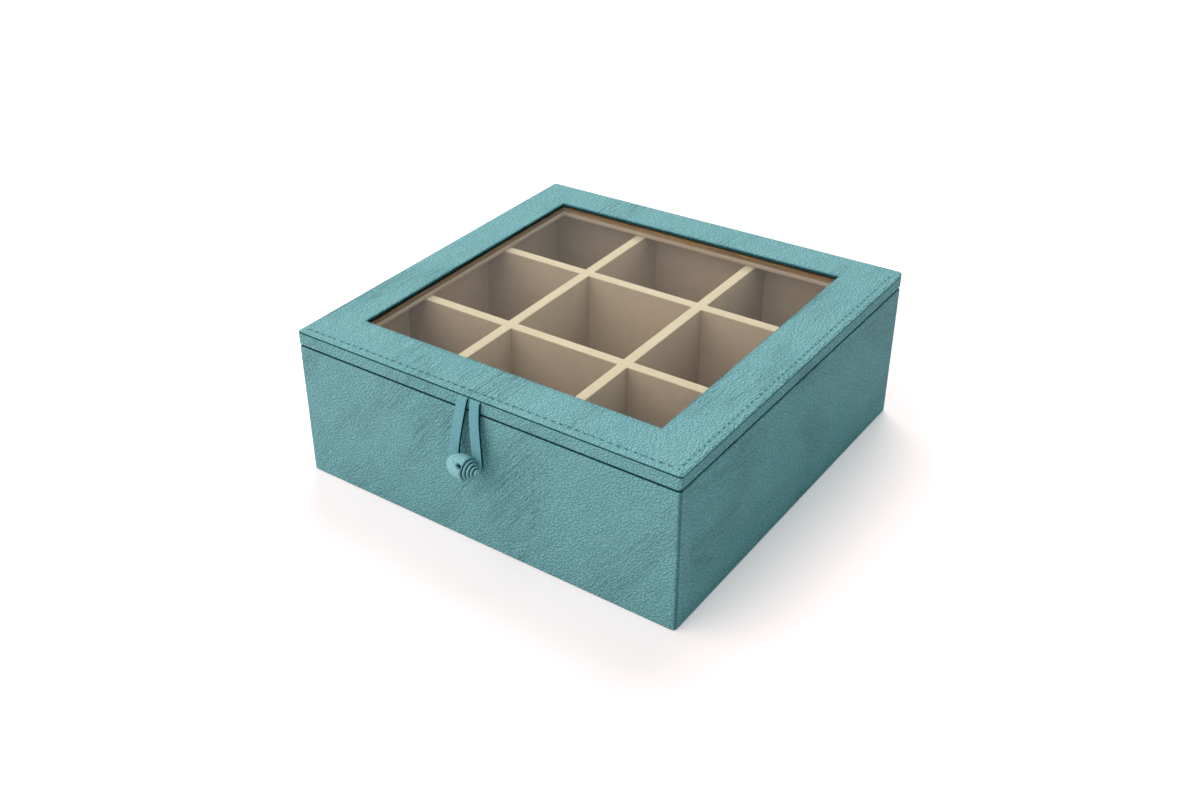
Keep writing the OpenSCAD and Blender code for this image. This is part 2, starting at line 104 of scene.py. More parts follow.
def emptyTree(owner):
    owner.use_nodes = True
    owner.node_tree.nodes.clear()
    return owner.node_tree


def operate(tree, kind, operation, values):
    node = tree.nodes.new(kind)
    node.operation = operation
    for socket, value in zip(node.inputs, values):
        feed(tree, socket, value)
    return node.outputs


def mathNode(tree, operation, *values):
    return operate(tree, "ShaderNodeMath", operation, values)["Value"]


def vectorNode(tree, operation, *values):
    return operate(tree, "ShaderNodeVectorMath", operation, values)["Vector"]


def rangeNode(tree, value, span, to=(0.0, 1.0), smooth=True):
    labels = ("Value", "From Min", "From Max", "To Min", "To Max")
    node = newNode(tree, "ShaderNodeMapRange", dict(zip(labels, (value, *span, *to))))
    node.interpolation_type = "SMOOTHSTEP" if smooth else "LINEAR"
    return node.outputs["Result"]


def noiseNode(tree, vector, scale, detail=2.0, roughness=0.5, distortion=0.0, flat=False, output="Fac"):
    labels = ("Vector", "Scale", "Detail", "Roughness", "Distortion")
    values = dict(zip(labels, (vector, scale, detail, roughness, distortion)))
    node = newNode(tree, "ShaderNodeTexNoise", values)
    node.noise_dimensions = "2D" if flat else "3D"
    return node.outputs[output]


def mixColours(tree, amount, first, second):
    node = tree.nodes.new("ShaderNodeMix")
    node.data_type = "RGBA"
    for place, value in ((0, amount), (6, first), (7, second)):  # the sockets for colours
        feed(tree, node.inputs[place], value)
    return node.outputs[2]


camera = dict(
    azimuth=40.04,  # degrees to the right of straight in front
    elevation=31.12,
    roll=-3.07,
    distance=757.7 * mm,
    target=Vector((-57.6, -48.0, 45.0)) * mm,
    focalPixels=1331.0,
    centrePixel=(473.1, 378.9),  # where the lens axis meets the frame
    frameSize=(1200, 800),
    sensor=36.0,
    nearest=10 * mm,
)


def addCamera(c):
    az, el, roll = (math.radians(c[k]) for k in ("azimuth", "elevation", "roll"))
    back = Vector((math.sin(az) * math.cos(el), -math.cos(az) * math.cos(el), math.sin(el)))
    right = (-back).cross(Vector((0, 0, 1))).normalized()
    up = right.cross(-back)
    turnedRight = right * math.cos(roll) + up * math.sin(roll)
    turnedUp = up * math.cos(roll) - right * math.sin(roll)
    width, height = c["frameSize"]
    data = bpy.data.cameras.new("camera")
    data.sensor_width = c["sensor"]
    data.sensor_fit = "HORIZONTAL"
    data.lens = c["focalPixels"] / width * c["sensor"]
    data.shift_x = (width / 2 - c["centrePixel"][0]) / width
    data.shift_y = (c["centrePixel"][1] - height / 2) / width
    data.clip_start = c["nearest"]
    obj = addObject("camera", data)
    rotation = Matrix((turnedRight, turnedUp, back)).transposed().to_4x4()
    obj.matrix_world = Matrix.Translation(c["target"] + back * c["distance"]) @ rotation
    scene.camera = obj


room = dict(
    ambient=0.30,
    ambientTint=(0.78, 1.0, 1.04),
    lampTint=(1.31, 1.0, 0.97),
    lamps=dict(  # each lamp's place, width and power
        front=(Vector((-0.55, -0.95, 1.15)), 2.0, 21.8),
        back=(Vector((-0.45, 0.95, 1.55)), 1.2, 23.0),
    ),
    lampAim=Vector((0, 0, 50 * mm)),
    white=(1, 1, 1),
    floorWidth=8.0,
    floorColour=(0.79, 0.80, 0.80),
    floorGlow=0.29,  # what the camera sees of the floor even in full shadow
    glowSpan=(0.30, 0.90),  # the glow grows to white between these distances
)


def addLamp(r, name, place, size, power):
    data = bpy.data.lights.new(name, "AREA")
    data.size = size
    data.energy = power
    data.color = r["lampTint"]
    obj = addObject(name, data)
    aim = (r["lampAim"] - place).to_track_quat("-Z", "Y")
    obj.matrix_world = Matrix.Translation(place) @ aim.to_matrix().to_4x4()
    obj.visible_glossy = False  # no mirror image of the lamp in the pane
    obj.visible_transmission = False  # the pane passes the lamp's light by its own share


def seenDirectly(tree):
    # 1 for camera, glossy and transmitted rays, which see a plain white studio
    path = tree.nodes.new("ShaderNodeLightPath").outputs
    first = mathNode(tree, "MAXIMUM", path["Is Camera Ray"], path["Is Glossy Ray"])
    return mathNode(tree, "MAXIMUM", first, path["Is Transmission Ray"])


def addWorld(r):
    world = bpy.data.worlds.new("studio")
    scene.world = world
    tree = emptyTree(world)
    soft = newNode(tree, "ShaderNodeBackground", dict(Color=r["ambientTint"], Strength=r["ambient"]))
    plain = newNode(tree, "ShaderNodeBackground", dict(Color=r["white"]))
    mix = tree.nodes.new("ShaderNodeMixShader")
    for socket, value in zip(mix.inputs, (seenDirectly(tree), soft.outputs[0], plain.outputs[0])):
        feed(tree, socket, value)
    newNode(tree, "ShaderNodeOutputWorld", dict(Surface=mix.outputs[0]))


def addFloor(r):
    material = bpy.data.materials.new("studio_floor")
    tree = emptyTree(material)
    matte = newNode(tree, "ShaderNodeBsdfDiffuse", dict(Color=r["floorColour"]))
    place = tree.nodes.new("ShaderNodeTexCoord").outputs["Object"]
    away = operate(tree, "ShaderNodeVectorMath", "LENGTH", [place])["Value"]
    growing = rangeNode(tree, away, r["glowSpan"], (r["floorGlow"], 1.0), smooth=False)
    share = mathNode(tree, "MULTIPLY", seenDirectly(tree), growing)
    glow = newNode(tree, "ShaderNodeEmission", dict(Color=r["white"], Strength=share))
    both = tree.nodes.new("ShaderNodeAddShader")
    feed(tree, both.inputs[0], matte.outputs[0])
    feed(tree, both.inputs[1], glow.outputs[0])
    newNode(tree, "ShaderNodeOutputMaterial", dict(Surface=both.outputs[0]))
    addMesh("floor", squareSheet(r["floorWidth"] / 2, 0), material)


addCamera(camera)
addWorld(room)
for name, (place, size, power) in room["lamps"].items():
    addLamp(room, name, place, size, power)
addFloor(room)
scene.view_settings.view_transform = "Standard"
print("camera and room set")


grainPattern = dict(
    wander=1.4 * mm,  # how far the pebbles leave their even places
    wanderScale=120.0,
    randomness=0.9,
    domeSpan=(0.05, 0.62),  # from a pebble's crown to its valley
    smallScale=2.3,  # how much finer the second layer of pebbles is
    smoothness=(0.25, 0.20),  # of the large and the small pebbles
    strand=(0.022, 1.0, 1.0),  # creases are noise drawn out along the first axis
    strandScale=640.0,
    foldSpan=(0.0, 0.05),
    bundle=(0.45, 1.0, 1.0),  # and stand in bundles
    bundleScale=30.0,
    bundleSpan=(0.42, 0.72),
    domeHeight=0.60,
    smallHeight=0.12,
    creaseHeight=-0.50,
    mottle=(21.0, 3.0, 0.6),  # scale, detail and roughness of the cloudy tone
)


def makeHideGrain(k):
    # pebbled hide with bundles of fine creases along the pattern's first axis
    group = bpy.data.node_groups.new("hide_grain", "ShaderNodeTree")
    group.interface.new_socket(name="Vector", in_out="INPUT", socket_type="NodeSocketVector")
    for label in ("Pebbles", "Creases", "Stretch"):
        group.interface.new_socket(name=label, in_out="INPUT", socket_type="NodeSocketFloat")
    for label in ("Height", "Valley", "Mottle"):
        group.interface.new_socket(name=label, in_out="OUTPUT", socket_type="NodeSocketFloat")
    ins = group.nodes.new("NodeGroupInput").outputs
    outs = group.nodes.new("NodeGroupOutput")
    noiseColour = noiseNode(group, ins["Vector"], k["wanderScale"], flat=True, output="Color")
    shift = vectorNode(group, "SUBTRACT", noiseColour, (0.5, 0.5, 0.5))
    shift = vectorNode(group, "MULTIPLY", shift, (k["wander"], k["wander"], 0.0))
    warped = vectorNode(group, "ADD", ins["Vector"], shift)
    stretch = newNode(group, "ShaderNodeCombineXYZ", dict(X=ins["Stretch"], Y=1.0))
    lengthened = vectorNode(group, "MULTIPLY", warped, stretch.outputs[0])

    def pebbles(scale, smoothness):
        cells = group.nodes.new("ShaderNodeTexVoronoi")
        cells.voronoi_dimensions = "2D"
        cells.feature = "SMOOTH_F1"
        setInputs(group, cells, dict(
            Vector=lengthened, Scale=scale, Smoothness=smoothness, Randomness=k["randomness"],
        ))
        return rangeNode(group, cells.outputs["Distance"], k["domeSpan"], (1.0, 0.0), smooth=False)

    dome = pebbles(ins["Pebbles"], k["smoothness"][0])
    small = pebbles(mathNode(group, "MULTIPLY", ins["Pebbles"], k["smallScale"]), k["smoothness"][1])
    strands = vectorNode(group, "MULTIPLY", warped, k["strand"])
    lines = noiseNode(group, strands, k["strandScale"], 1.0, flat=True)
    ridge = mathNode(group, "ABSOLUTE", mathNode(group, "SUBTRACT", lines, 0.5))
    fold = rangeNode(group, ridge, k["foldSpan"], (1.0, 0.0))
    patches = vectorNode(group, "MULTIPLY", ins["Vector"], k["bundle"])
    bundle = rangeNode(group, noiseNode(group, patches, k["bundleScale"], flat=True), k["bundleSpan"])
    crease = mathNode(group, "MULTIPLY", fold, mathNode(group, "MULTIPLY", bundle, ins["Creases"]))
    height = mathNode(group, "MULTIPLY", dome, k["domeHeight"])
    height = mathNode(group, "MULTIPLY_ADD", small, k["smallHeight"], height)
    setInputs(group, outs, dict(
        Height=mathNode(group, "MULTIPLY_ADD", crease, k["creaseHeight"], height),
        Valley=mathNode(group, "SUBTRACT", 1.0, dome),
        Mottle=noiseNode(group, ins["Vector"], *k["mottle"], flat=True),
    ))
    return group


hideGrain = makeHideGrain(grainPattern)


def startMaterial(name):
    material = bpy.data.materials.new(name)
    tree = emptyTree(material)
    shader = tree.nodes.new("ShaderNodeBsdfPrincipled")
    newNode(tree, "ShaderNodeOutputMaterial", dict(Surface=shader.outputs[0]))
    return material, tree, shader


def addBump(tree, shader, height, distance, strength):
    bump = newNode(tree, "ShaderNodeBump", dict(Strength=strength, Distance=distance, Height=height))
    setInputs(tree, shader, dict(Normal=bump.outputs[0]))


leatherLook = dict(
    colour=(0.222, 0.538, 0.568),
    deep=(0.074, 0.282, 0.318),
    pale=(0.238, 0.558, 0.584),
    painted_shade_and_dye=(0.000, 0.070, 0.086),  # painted shade in stitch holes, seams, grooves and recesses and on shaded edges, and the strap's edge dye
    mottleSpan=(0.32, 0.68),
    dipSpan=(0.35, 1.0),
    dipShare=0.48,  # how far the grain's valleys take the deep colour: the hide's own darker valleys, with painted shade
    roughSpan=(0.2, 1.0),
    roughness=(0.50, 0.70),
    specular=0.06,
    grain=dict(Pebbles=820.0, Creases=1.0, Stretch=0.7),
    relief=1.5 * mm,
)
strapLook = dict(
    leatherLook,
    colour=(0.148, 0.400, 0.445),
    deep=(0.080, 0.264, 0.304),
    pale=(0.166, 0.422, 0.466),
    painted_shade_and_dye=(0.000, 0.060, 0.078),
    dipShare=0.40,
    roughness=(0.48, 0.68),
    grain=dict(Pebbles=1100.0, Creases=0.3, Stretch=0.8),
    relief=0.06 * mm,
)
rollLook = dict(strapLook, colour=(0.250, 0.565, 0.612), pale=(0.275, 0.595, 0.642))


def leatherMaterial(name, look):
    material, tree, shader = startMaterial(name)
    uv = tree.nodes.new("ShaderNodeUVMap")
    uv.uv_map = "grain"
    grain = tree.nodes.new("ShaderNodeGroup")
    grain.node_tree = hideGrain
    setInputs(tree, grain, dict(look["grain"], Vector=uv.outputs[0]))
    mottle = rangeNode(tree, grain.outputs["Mottle"], look["mottleSpan"])
    base = mixColours(tree, mottle, look["colour"], look["pale"])
    # darker valleys: the hide's own tone, with painted shade
    dip = rangeNode(tree, grain.outputs["Valley"], look["dipSpan"], (0.0, look["dipShare"]))
    shaded = mixColours(tree, dip, base, look["deep"])
    # the mesh's own mark: painted shade, and dye on the strap's edges
    mark = tree.nodes.new("ShaderNodeAttribute")
    mark.attribute_name = "painted_shade_and_dye"
    setInputs(tree, shader, {
        "Base Color": mixColours(tree, mark.outputs["Fac"], shaded, look["painted_shade_and_dye"]),
        "Roughness": rangeNode(tree, grain.outputs["Valley"], look["roughSpan"], look["roughness"]),
        "Specular IOR Level": look["specular"],
    })
    addBump(tree, shader, grain.outputs["Height"], look["relief"], 1.0)
    return material


noiseSpan = (0.3, 0.7)  # where most of a noise's values lie


def patternedMaterial(name, look, patterns):
    # colour, roughness and relief, each from one of the look's own noises
    material, tree, shader = startMaterial(name)
    place = tree.nodes.new("ShaderNodeTexCoord").outputs["Object"]
    toneBy, roughBy, reliefBy = patterns(tree, place, look)
    tone = rangeNode(tree, toneBy, look["toneSpan"])
    setInputs(tree, shader, {
        "Base Color": mixColours(tree, tone, *look["colours"]),
        "Roughness": rangeNode(tree, roughBy, noiseSpan, look["roughness"]),
        **look.get("fixed", {}),
    })
    addBump(tree, shader, reliefBy, look["relief"], look["strength"])
    return material


def blendOf(tree, first, second, share):  # a share of the first noise, the rest of the second
    return mathNode(tree, "MULTIPLY_ADD", first, share, mathNode(tree, "MULTIPLY", second, 1 - share))


# each noise below: scale, detail, roughness, distortion
creamLook = dict(
    colours=((0.66, 0.605, 0.415), (0.72, 0.665, 0.468)),
    toneSpan=noiseSpan,
    fibre=(4200.0, 2.0, 0.7),
    nap=(260.0, 3.0, 0.6),
    napShare=0.55,
    roughness=(0.85, 0.97),
    fixed={"Specular IOR Level": 0.05},
    relief=0.05 * mm,
    strength=0.6,
)
taupeLook = dict(creamLook, colours=((0.490, 0.407, 0.286), (0.545, 0.460, 0.330)))


def suedePatterns(tree, place, look):
    # short-napped suede: fine fibres, brushed patches
    fibre = noiseNode(tree, place, *look["fibre"])
    nap = noiseNode(tree, place, *look["nap"])
    return blendOf(tree, nap, fibre, look["napShare"]), nap, fibre


woodLook = dict(
    colours=((0.19, 0.105, 0.026), (0.37, 0.235, 0.075)),
    toneSpan=(0.36, 0.62),
    squeeze=(0.05, 1.0, 1.0),  # draws the grain out along one axis
    rings=(420.0, 3.0, 0.6, 0.6),
    pores=(2100.0, 2.0, 0.5),
    ringShare=0.65,
    roughness=(0.55, 0.38),
    relief=0.08 * mm,
    strength=0.5,
)
# the side rails: grain along y, and painted shade as a darker copy of the same wood
shadedDeepWoodLook = dict(
    woodLook, colours=((0.12, 0.066, 0.018), (0.25, 0.155, 0.050)), squeeze=(1.0, 0.05, 1.0)
)


def woodPatterns(tree, place, look):
    drawnOut = vectorNode(tree, "MULTIPLY", place, look["squeeze"])
    rings = noiseNode(tree, drawnOut, *look["rings"])
    pores = noiseNode(tree, drawnOut, *look["pores"])
    return [blendOf(tree, rings, pores, look["ringShare"])] * 3


brassLook = dict(
    colours=((0.78, 0.58, 0.27), (0.50, 0.34, 0.14)),
    toneSpan=(0.42, 0.68),
    squeeze=(0.04, 1.0, 1.0),
    brushed=(5200.0, 2.0, 0.6),
    tarnish=(420.0, 4.0, 0.65),
    roughness=(0.24, 0.42),
    fixed=dict(Metallic=1.0),
    relief=0.02 * mm,
    strength=0.5,
)


def brassPatterns(tree, place, look):
    brushed = noiseNode(tree, vectorNode(tree, "MULTIPLY", place, look["squeeze"]), *look["brushed"])
    return noiseNode(tree, place, *look["tarnish"]), brushed, brushed


cardLook = dict(  # pressed grey-brown board with flecks
    colours=((0.30, 0.22, 0.13), (0.42, 0.33, 0.21)),
    toneSpan=(0.35, 0.65),
    noise=(900.0, 4.0, 0.7),
    roughness=(0.92, 0.78),
    relief=0.04 * mm,
    strength=0.5,
)
feltLook = dict(  # pressed black wool
    colours=((0.030, 0.029, 0.028), (0.060, 0.058, 0.055)),
    toneSpan=noiseSpan,
    noise=(1900.0, 4.0, 0.75, 0.8),
    roughness=(0.88, 1.0),
    fixed={"Sheen Weight": 0.3},
    relief=0.12 * mm,
    strength=0.8,
)


def onePattern(tree, place, look):
    return [noiseNode(tree, place, *look["noise"])] * 3


glassLook = dict(
    colour=(0.97, 0.985, 0.975),
    index=1.15,  # low, as a higher one would mirror the white room
    film=(26.0, 3.0, 0.6),
    filmSpan=(0.4, 0.75),
    roughness=(0.0, 0.03),
    lampPass=0.72,  # how far the pane opens to the lamps' own rays
)


def glassMaterial(name, look):
    # clear float glass; most shadow rays pass it, so the compartments stay lit
    material, tree, shader = startMaterial(name)
    film = noiseNode(tree, tree.nodes.new("ShaderNodeTexCoord").outputs["Object"], *look["film"])
    path = tree.nodes.new("ShaderNodeLightPath")
    opened = mathNode(tree, "MULTIPLY", path.outputs["Is Shadow Ray"], look["lampPass"])
    setInputs(tree, shader, {
        "Base Color": look["colour"],
        "Transmission Weight": 1.0,
        "IOR": look["index"],
        "Roughness": rangeNode(tree, film, look["filmSpan"], look["roughness"]),
        "Alpha": mathNode(tree, "SUBTRACT", 1.0, opened),
    })
    return material


leather = leatherMaterial("teal_leather", leatherLook)
strapLeather = leatherMaterial("strap_leather", strapLook)
rollLeather = leatherMaterial("roll_leather", rollLook)
cream = patternedMaterial("cream_edging", creamLook, suedePatterns)
suede = patternedMaterial("taupe_suede", taupeLook, suedePatterns)
railWoodX = patternedMaterial("rail_wood_across", woodLook, woodPatterns)
# the same wood with painted shade, for the side rails
shadedRailWoodY = patternedMaterial("rail_wood_deep_shaded", shadedDeepWoodLook, woodPatterns)
brass = patternedMaterial("brushed_brass", brassLook, brassPatterns)
card = patternedMaterial("pressed_board", cardLook, onePattern)
felt = patternedMaterial("base_felt", feltLook, onePattern)
glass = glassMaterial("clear_glass", glassLook)
print("finishes made")


# shared shaping
axes = dict(x=Vector((1, 0, 0)), y=Vector((0, 1, 0)), z=Vector((0, 0, 1)))
upright = 0.5  # a face whose normal rises less than this is a side
level = 0.9  # and one whose normal rises more than this is a top
squareBend = 1.0  # radians; an edge that bends more than this is a cut edge
outerSlack = 0.02 * mm  # a point this near the outer size lies on a side
cornerSteps = 6
foldAngle = 50  # degrees; leather folds that bend less shade smoothly


def near(a, b, slack=1e-5):
    return abs(a - b) < slack


def clamped(value):
    return max(0.0, min(1.0, value))


def roundEnd(t):  # the height of a unit quarter circle at t
    return math.sqrt(max(0.0, 1 - t * t))


def reach(p):  # how far out a point is, by x or by y
    return max(abs(p.x), abs(p.y))


def middle(face):
    return face.calc_center_median()


def cut(bm, axis, value, faces=None):
    # a cut at one value of x, y or z, across the whole mesh or some of its faces
    if faces is None:
        geom = bm.verts[:] + bm.edges[:] + bm.faces[:]
    else:
        edges = {e for f in faces for e in f.edges}
        verts = {v for f in faces for v in f.verts}
        geom = list(verts) + list(edges) + list(faces)
    bmesh.ops.bisect_plane(bm, geom=geom, dist=1e-7, plane_co=axes[axis] * value, plane_no=axes[axis])


def gridCut(bm, axis, low, high, step):
    # cuts every step or a little less between two values
    count = max(1, math.ceil((high - low) / step))
    for i in range(1, count):
        cut(bm, axis, low + (high - low) * i / count)


def bevel(bm, geom, offset, segments, affect="EDGES"):
    bmesh.ops.bevel(
        bm, geom=geom, offset=offset, offset_type="OFFSET", segments=segments,
        profile=0.5, affect=affect, material=-1, clamp_overlap=True,
    )


def isLevel(edge, z):
    return all(near(v.co.z, z) for v in edge.verts)


def levelEdges(bm, z):
    # the edges at height z with an upright face beside them
    return [e for e in bm.edges if isLevel(e, z) and any(abs(f.normal.z) < upright for f in e.link_faces)]


def cornerEdges(bm, x, y):
    # the upright edges at plus and minus x and y
    found = []
    for e in bm.edges:
        a, b = e.verts[0].co, e.verts[1].co
        if near(a.x, b.x) and near(a.y, b.y) and near(abs(a.x), x) and near(abs(a.y), y):
            found.append(e)
    return found


def sharpEdges(bm, angle):
    return [e for e in bm.edges if len(e.link_faces) == 2 and e.calc_face_angle(0) > angle]


def boxMesh(low, high):
    bm = bmesh.new()
    bmesh.ops.create_cube(bm, size=1)
    bmesh.ops.scale(bm, vec=high - low, verts=bm.verts)
    move(bm, bm.verts, (low + high) / 2)
    return bm


def openEnd(bm, up, rim):
    # opens the top (up = 1) or the bottom (up = -1) and leaves a rim of it
    face = next(f for f in bm.faces if f.normal.z * up > level)
    bmesh.ops.inset_region(bm, faces=[face], thickness=rim, use_even_offset=True)
    bmesh.ops.delete(bm, geom=[face], context="FACES_ONLY")


def removeFaces(bm, faces):
    bmesh.ops.delete(bm, geom=faces, context="FACES")


def thicken(bm, depth):
    bmesh.ops.solidify(bm, geom=bm.faces[:], thickness=depth)


def extruded(made):
    return [v for v in made["geom"] if isinstance(v, bmesh.types.BMVert)]


def turnDown(bm, rim, drop):
    # a strip of sheet straight down from a run of open edges
    moved = extruded(bmesh.ops.extrude_edge_only(bm, edges=rim))
    move(bm, moved, (0, 0, -drop))
    return moved


def recalc(bm):
    bmesh.ops.remove_doubles(bm, verts=bm.verts, dist=1e-6)
    bmesh.ops.recalc_face_normals(bm, faces=bm.faces)


def softWave(p, size, seed):
    # a slow, even unevenness between -1 and 1
    return noise.noise(p / size + Vector((seed, seed * 0.7, seed * 1.3)))


def softDent(p, k):
    # the same between 0 and a piece's own wave
    return (softWave(p, k["waveLength"], k["waveSeed"]) * 0.5 + 0.5) * k["wave"]


def pushIn(v, depth):
    # moves a point of an upright side towards the middle
    if abs(v.co.x) > abs(v.co.y):
        v.co.x -= math.copysign(depth, v.co.x)
    else:
        v.co.y -= math.copysign(depth, v.co.y)


# the grain on each side: degrees from the side's own first axis, and a shift
grainLie = dict(
    top=(88.0, 0.0), under=(88.0, 0.0), front=(51.0, 0.37), back=(51.0, 0.37),
    right=(-8.0, 0.71), left=(-8.0, 0.71),
)


def layGrain(bm):
    # a grain map in metres: each side laid flat and turned to its own crease direction
    layer = bm.loops.layers.uv.verify()
    for face in bm.faces:
        n = face.normal
        if abs(n.z) >= reach(n):
            side, a, b = "top" if n.z > 0 else "under", 0, 1
        elif abs(n.y) >= abs(n.x):
            side, a, b = "front" if n.y < 0 else "back", 0, 2
        else:
            side, a, b = "right" if n.x > 0 else "left", 1, 2
        degrees, shift = grainLie[side]
        c, s = math.cos(math.radians(degrees)), math.sin(math.radians(degrees))
        for loop in face.loops:
            p = loop.vert.co
            loop[layer].uv = (p[a] * c + p[b] * s + shift, p[b] * c - p[a] * s + shift)


def addPiece(name, bm, material, body, replaced=(), sharpAngle=35):
    piece = addMesh(name, bm, material)
    mesh = piece.data
    mesh.shade_smooth()
    mesh.set_sharp_from_angle(angle=math.radians(sharpAngle))
    for layer in mesh.uv_layers:
        layer.name = "grain"
    if body:
        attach(piece, body)
    if replaced:
        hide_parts(*replaced)
    print(name, "made:", len(mesh.polygons), "faces")
    return piece


bodyWrap = dict(
    corner=2.4 * mm,
    thickness=1.15 * mm,
    rimRound=(1.0 * mm, 4),  # each rounding's size and steps
    innerRound=(0.7 * mm, 3),
    baseRound=(0.8 * mm, 4),
    rimWidth=8.4 * mm,
    turnIn=14.0 * mm,
    turnUnder=14.0 * mm,
    cell=6.0 * mm,
    wave=0.22 * mm,
    waveLength=46.0 * mm,
    waveSeed=3.1,
    waveFade=8.0 * mm,  # the wave dies out this near the base and the rim
    seamWidth=0.9 * mm,
    seamDepth=0.7 * mm,
    seamReach=0.27 * mm,  # only the middle cuts of the back are pressed in
    backReach=3.0 * mm,
    recessDepth=1.2 * mm,  # where the hinge leaves lie in the rim
    recessTrim=0.8 * mm,
    backStrip=2.0 * mm,
    rimBand=0.25 * mm,
    rimShade=0.9,
    shadeFrom=0.55 * mm,  # painted shade of the groove under the lid, a band on the rim from the outer face inwards
    shadeTo=3.2 * mm,
    # painted contact shadow: a dark band along the base
    baseBand=0.45 * mm,
    baseShade=0.85,
    # painted shade on the rounding of the upright corners
    cornerBand=0.72 * mm,
    cornerShade=0.5,
)


def hingeRecesses(w):
    # each recess as its two x and its front y
    for side in ("left", "right"):
        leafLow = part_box("hinge_leaf_body_" + side)[0]
        pinLow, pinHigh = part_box("hinge_pin_" + side)
        yield pinLow.x + w["recessTrim"], pinHigh.x - w["recessTrim"], leafLow.y


def shadeWrap(bm, w, low, high, mark):
    # painted shade along the rim, the base and the upright corners, the wave of the sides and the pressed
    # seam up the back
    half = high.x
    for v in bm.verts:
        p = v.co
        out = reach(p)
        # painted shade of the groove under the lid
        if p.z > high.z - w["rimBand"] and half - w["shadeTo"] < out < half - w["shadeFrom"]:
            v[mark] = w["rimShade"]
        # painted contact shadow along the base
        elif p.z < low.z + w["baseBand"]:
            v[mark] = w["baseShade"]
        # painted shade on the upright corners' rounding
        elif abs(p.x) > half - w["cornerBand"] and abs(p.y) > half - w["corner"]:
            v[mark] = w["cornerShade"]
        if out > half - outerSlack:
            pushIn(v, softDent(p, w) * clamped(min(p.z - low.z, high.z - p.z) / w["waveFade"]))
        if p.y > high.y - w["backReach"] and abs(p.x) < w["seamReach"] and p.z > low.z + mm:
            v.co.y -= w["seamDepth"]


def makeBodyWrap(w):
    low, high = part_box("body_leather")
    inner = high.x - w["rimWidth"]
    bm = boxMesh(low, high)
    mark = bm.verts.layers.float.new("painted_shade_and_dye")
    openEnd(bm, 1, w["rimWidth"])
    openEnd(bm, -1, w["turnUnder"])
    bevel(bm, cornerEdges(bm, high.x, high.y), w["corner"], cornerSteps)
    turnDown(bm, [e for e in bm.edges if e.is_boundary and near(e.verts[0].co.z, high.z)], w["turnIn"])
    outerRim = [e for e in levelEdges(bm, high.z) if all(reach(v.co) > inner + mm for v in e.verts)]
    bevel(bm, outerRim, *w["rimRound"])
    topEdges = [e for e in bm.edges if isLevel(e, high.z)]
    bevel(bm, [e for e in topEdges if all(near(reach(v.co), inner) for v in e.verts)], *w["innerRound"])
    bevel(bm, levelEdges(bm, low.z), *w["baseRound"])
    for axis, start, end in zip("xyz", low, high):
        gridCut(bm, axis, start, end, w["cell"])
    for halfSteps in (-2, -1, 0, 1, 2):  # room for the seam
        cut(bm, "x", halfSteps * w["seamWidth"] / 2)
    boardTop = high.z - w["recessDepth"]
    recesses = list(hingeRecesses(w))
    for x0, x1, y0 in recesses:
        cut(bm, "x", x0)
        cut(bm, "x", x1)
    cut(bm, "y", recesses[-1][2])
    cut(bm, "z", boardTop, [f for f in bm.faces if middle(f).y > high.y - w["backStrip"]])
    for x0, x1, y0 in recesses:
        above = [f for f in bm.faces if middle(f).z > boardTop]
        removeFaces(bm, [f for f in above if x0 < middle(f).x < x1 and middle(f).y > y0])
    for axis in "xy":
        for side in (-1, 1):
            rimTop = [f for f in bm.faces if f.normal.z > level and middle(f).z > high.z - 0.1 * mm]
            cut(bm, axis, side * (high.x - w["shadeTo"]), rimTop)
    recalc(bm)
    shadeWrap(bm, w, low, high, mark)
    layGrain(bm)
    thicken(bm, w["thickness"])
    addPiece("body_wrap", bm, leather, "box", ["body_leather"], foldAngle)


makeBodyWrap(bodyWrap)


lidTop = dict(
    corner=2.4 * mm,
    sheet=0.35 * mm,
    glassOverlap=4.0 * mm,
    frontSkive=0.45 * mm,  # what is left of the sheet along the front seam
    edgeRound=(0.36 * mm, 3),
    # painted shade on the turned-down edges: the window's reveal and the seam at the front
    edgeShade=0.9,
    rollWidth=2.6 * mm,  # the sides roll over an edge
    rollDrop=1.0 * mm,
    rollSteps=(0.0, 0.2, 0.4, 0.58, 0.74, 0.87, 0.96),  # cuts across the roll, finer outwards
    rimBend=1.2,  # radians
    rimReach=5.0 * mm,  # tells the outer rim from the window's
    windowRound=(0.9 * mm, 5),
    windowShade=1.5 * mm,  # width of the painted shade on the window's rounding
    cell=6.0 * mm,
    wave=0.14 * mm,
    waveLength=38.0 * mm,
    waveSeed=7.7,
    waveFade=6.0 * mm,
    stitchInFront=5.0 * mm,  # from the front face to the row of holes
    stitchInRight=4.1 * mm,
    pitchFront=4.6 * mm,
    pitchRight=4.5 * mm,
    channel=1.0 * mm,
    channelDepth=0.10 * mm,
    cellReach=0.4 * mm,
    holeLength=0.62 * mm,
    holeWidth=0.66 * mm,
    holeDepth=0.60 * mm,
    holeMargin=0.25 * mm,
    holeTaper=0.08 * mm,
    # painted shade on the ring round each hole
    ringShade=0.6,
)


def windowBox(overlap):
    # the window's low and high corners, from the glass and its overlap
    low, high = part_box("glass_pane")
    inset = Vector((overlap, overlap, 0))
    return low + inset, high - inset


def stitchRows(t, high):
    # the x of the right row and the y of the front row
    return high.x - t["stitchInRight"], t["stitchInFront"] - high.y


def stitchPlaces(t, rowX, rowY):
    # each stitch place as x, y and its row's axis, the front row first
    frontCount = int(2 * rowX / t["pitchFront"])
    rightCount = int(-2 * rowY / t["pitchRight"])
    places = [(rowX - i * t["pitchFront"], rowY, "x") for i in range(frontCount + 1)]
    return places + [(rowX, rowY + i * t["pitchRight"], "y") for i in range(1, rightCount + 1)]


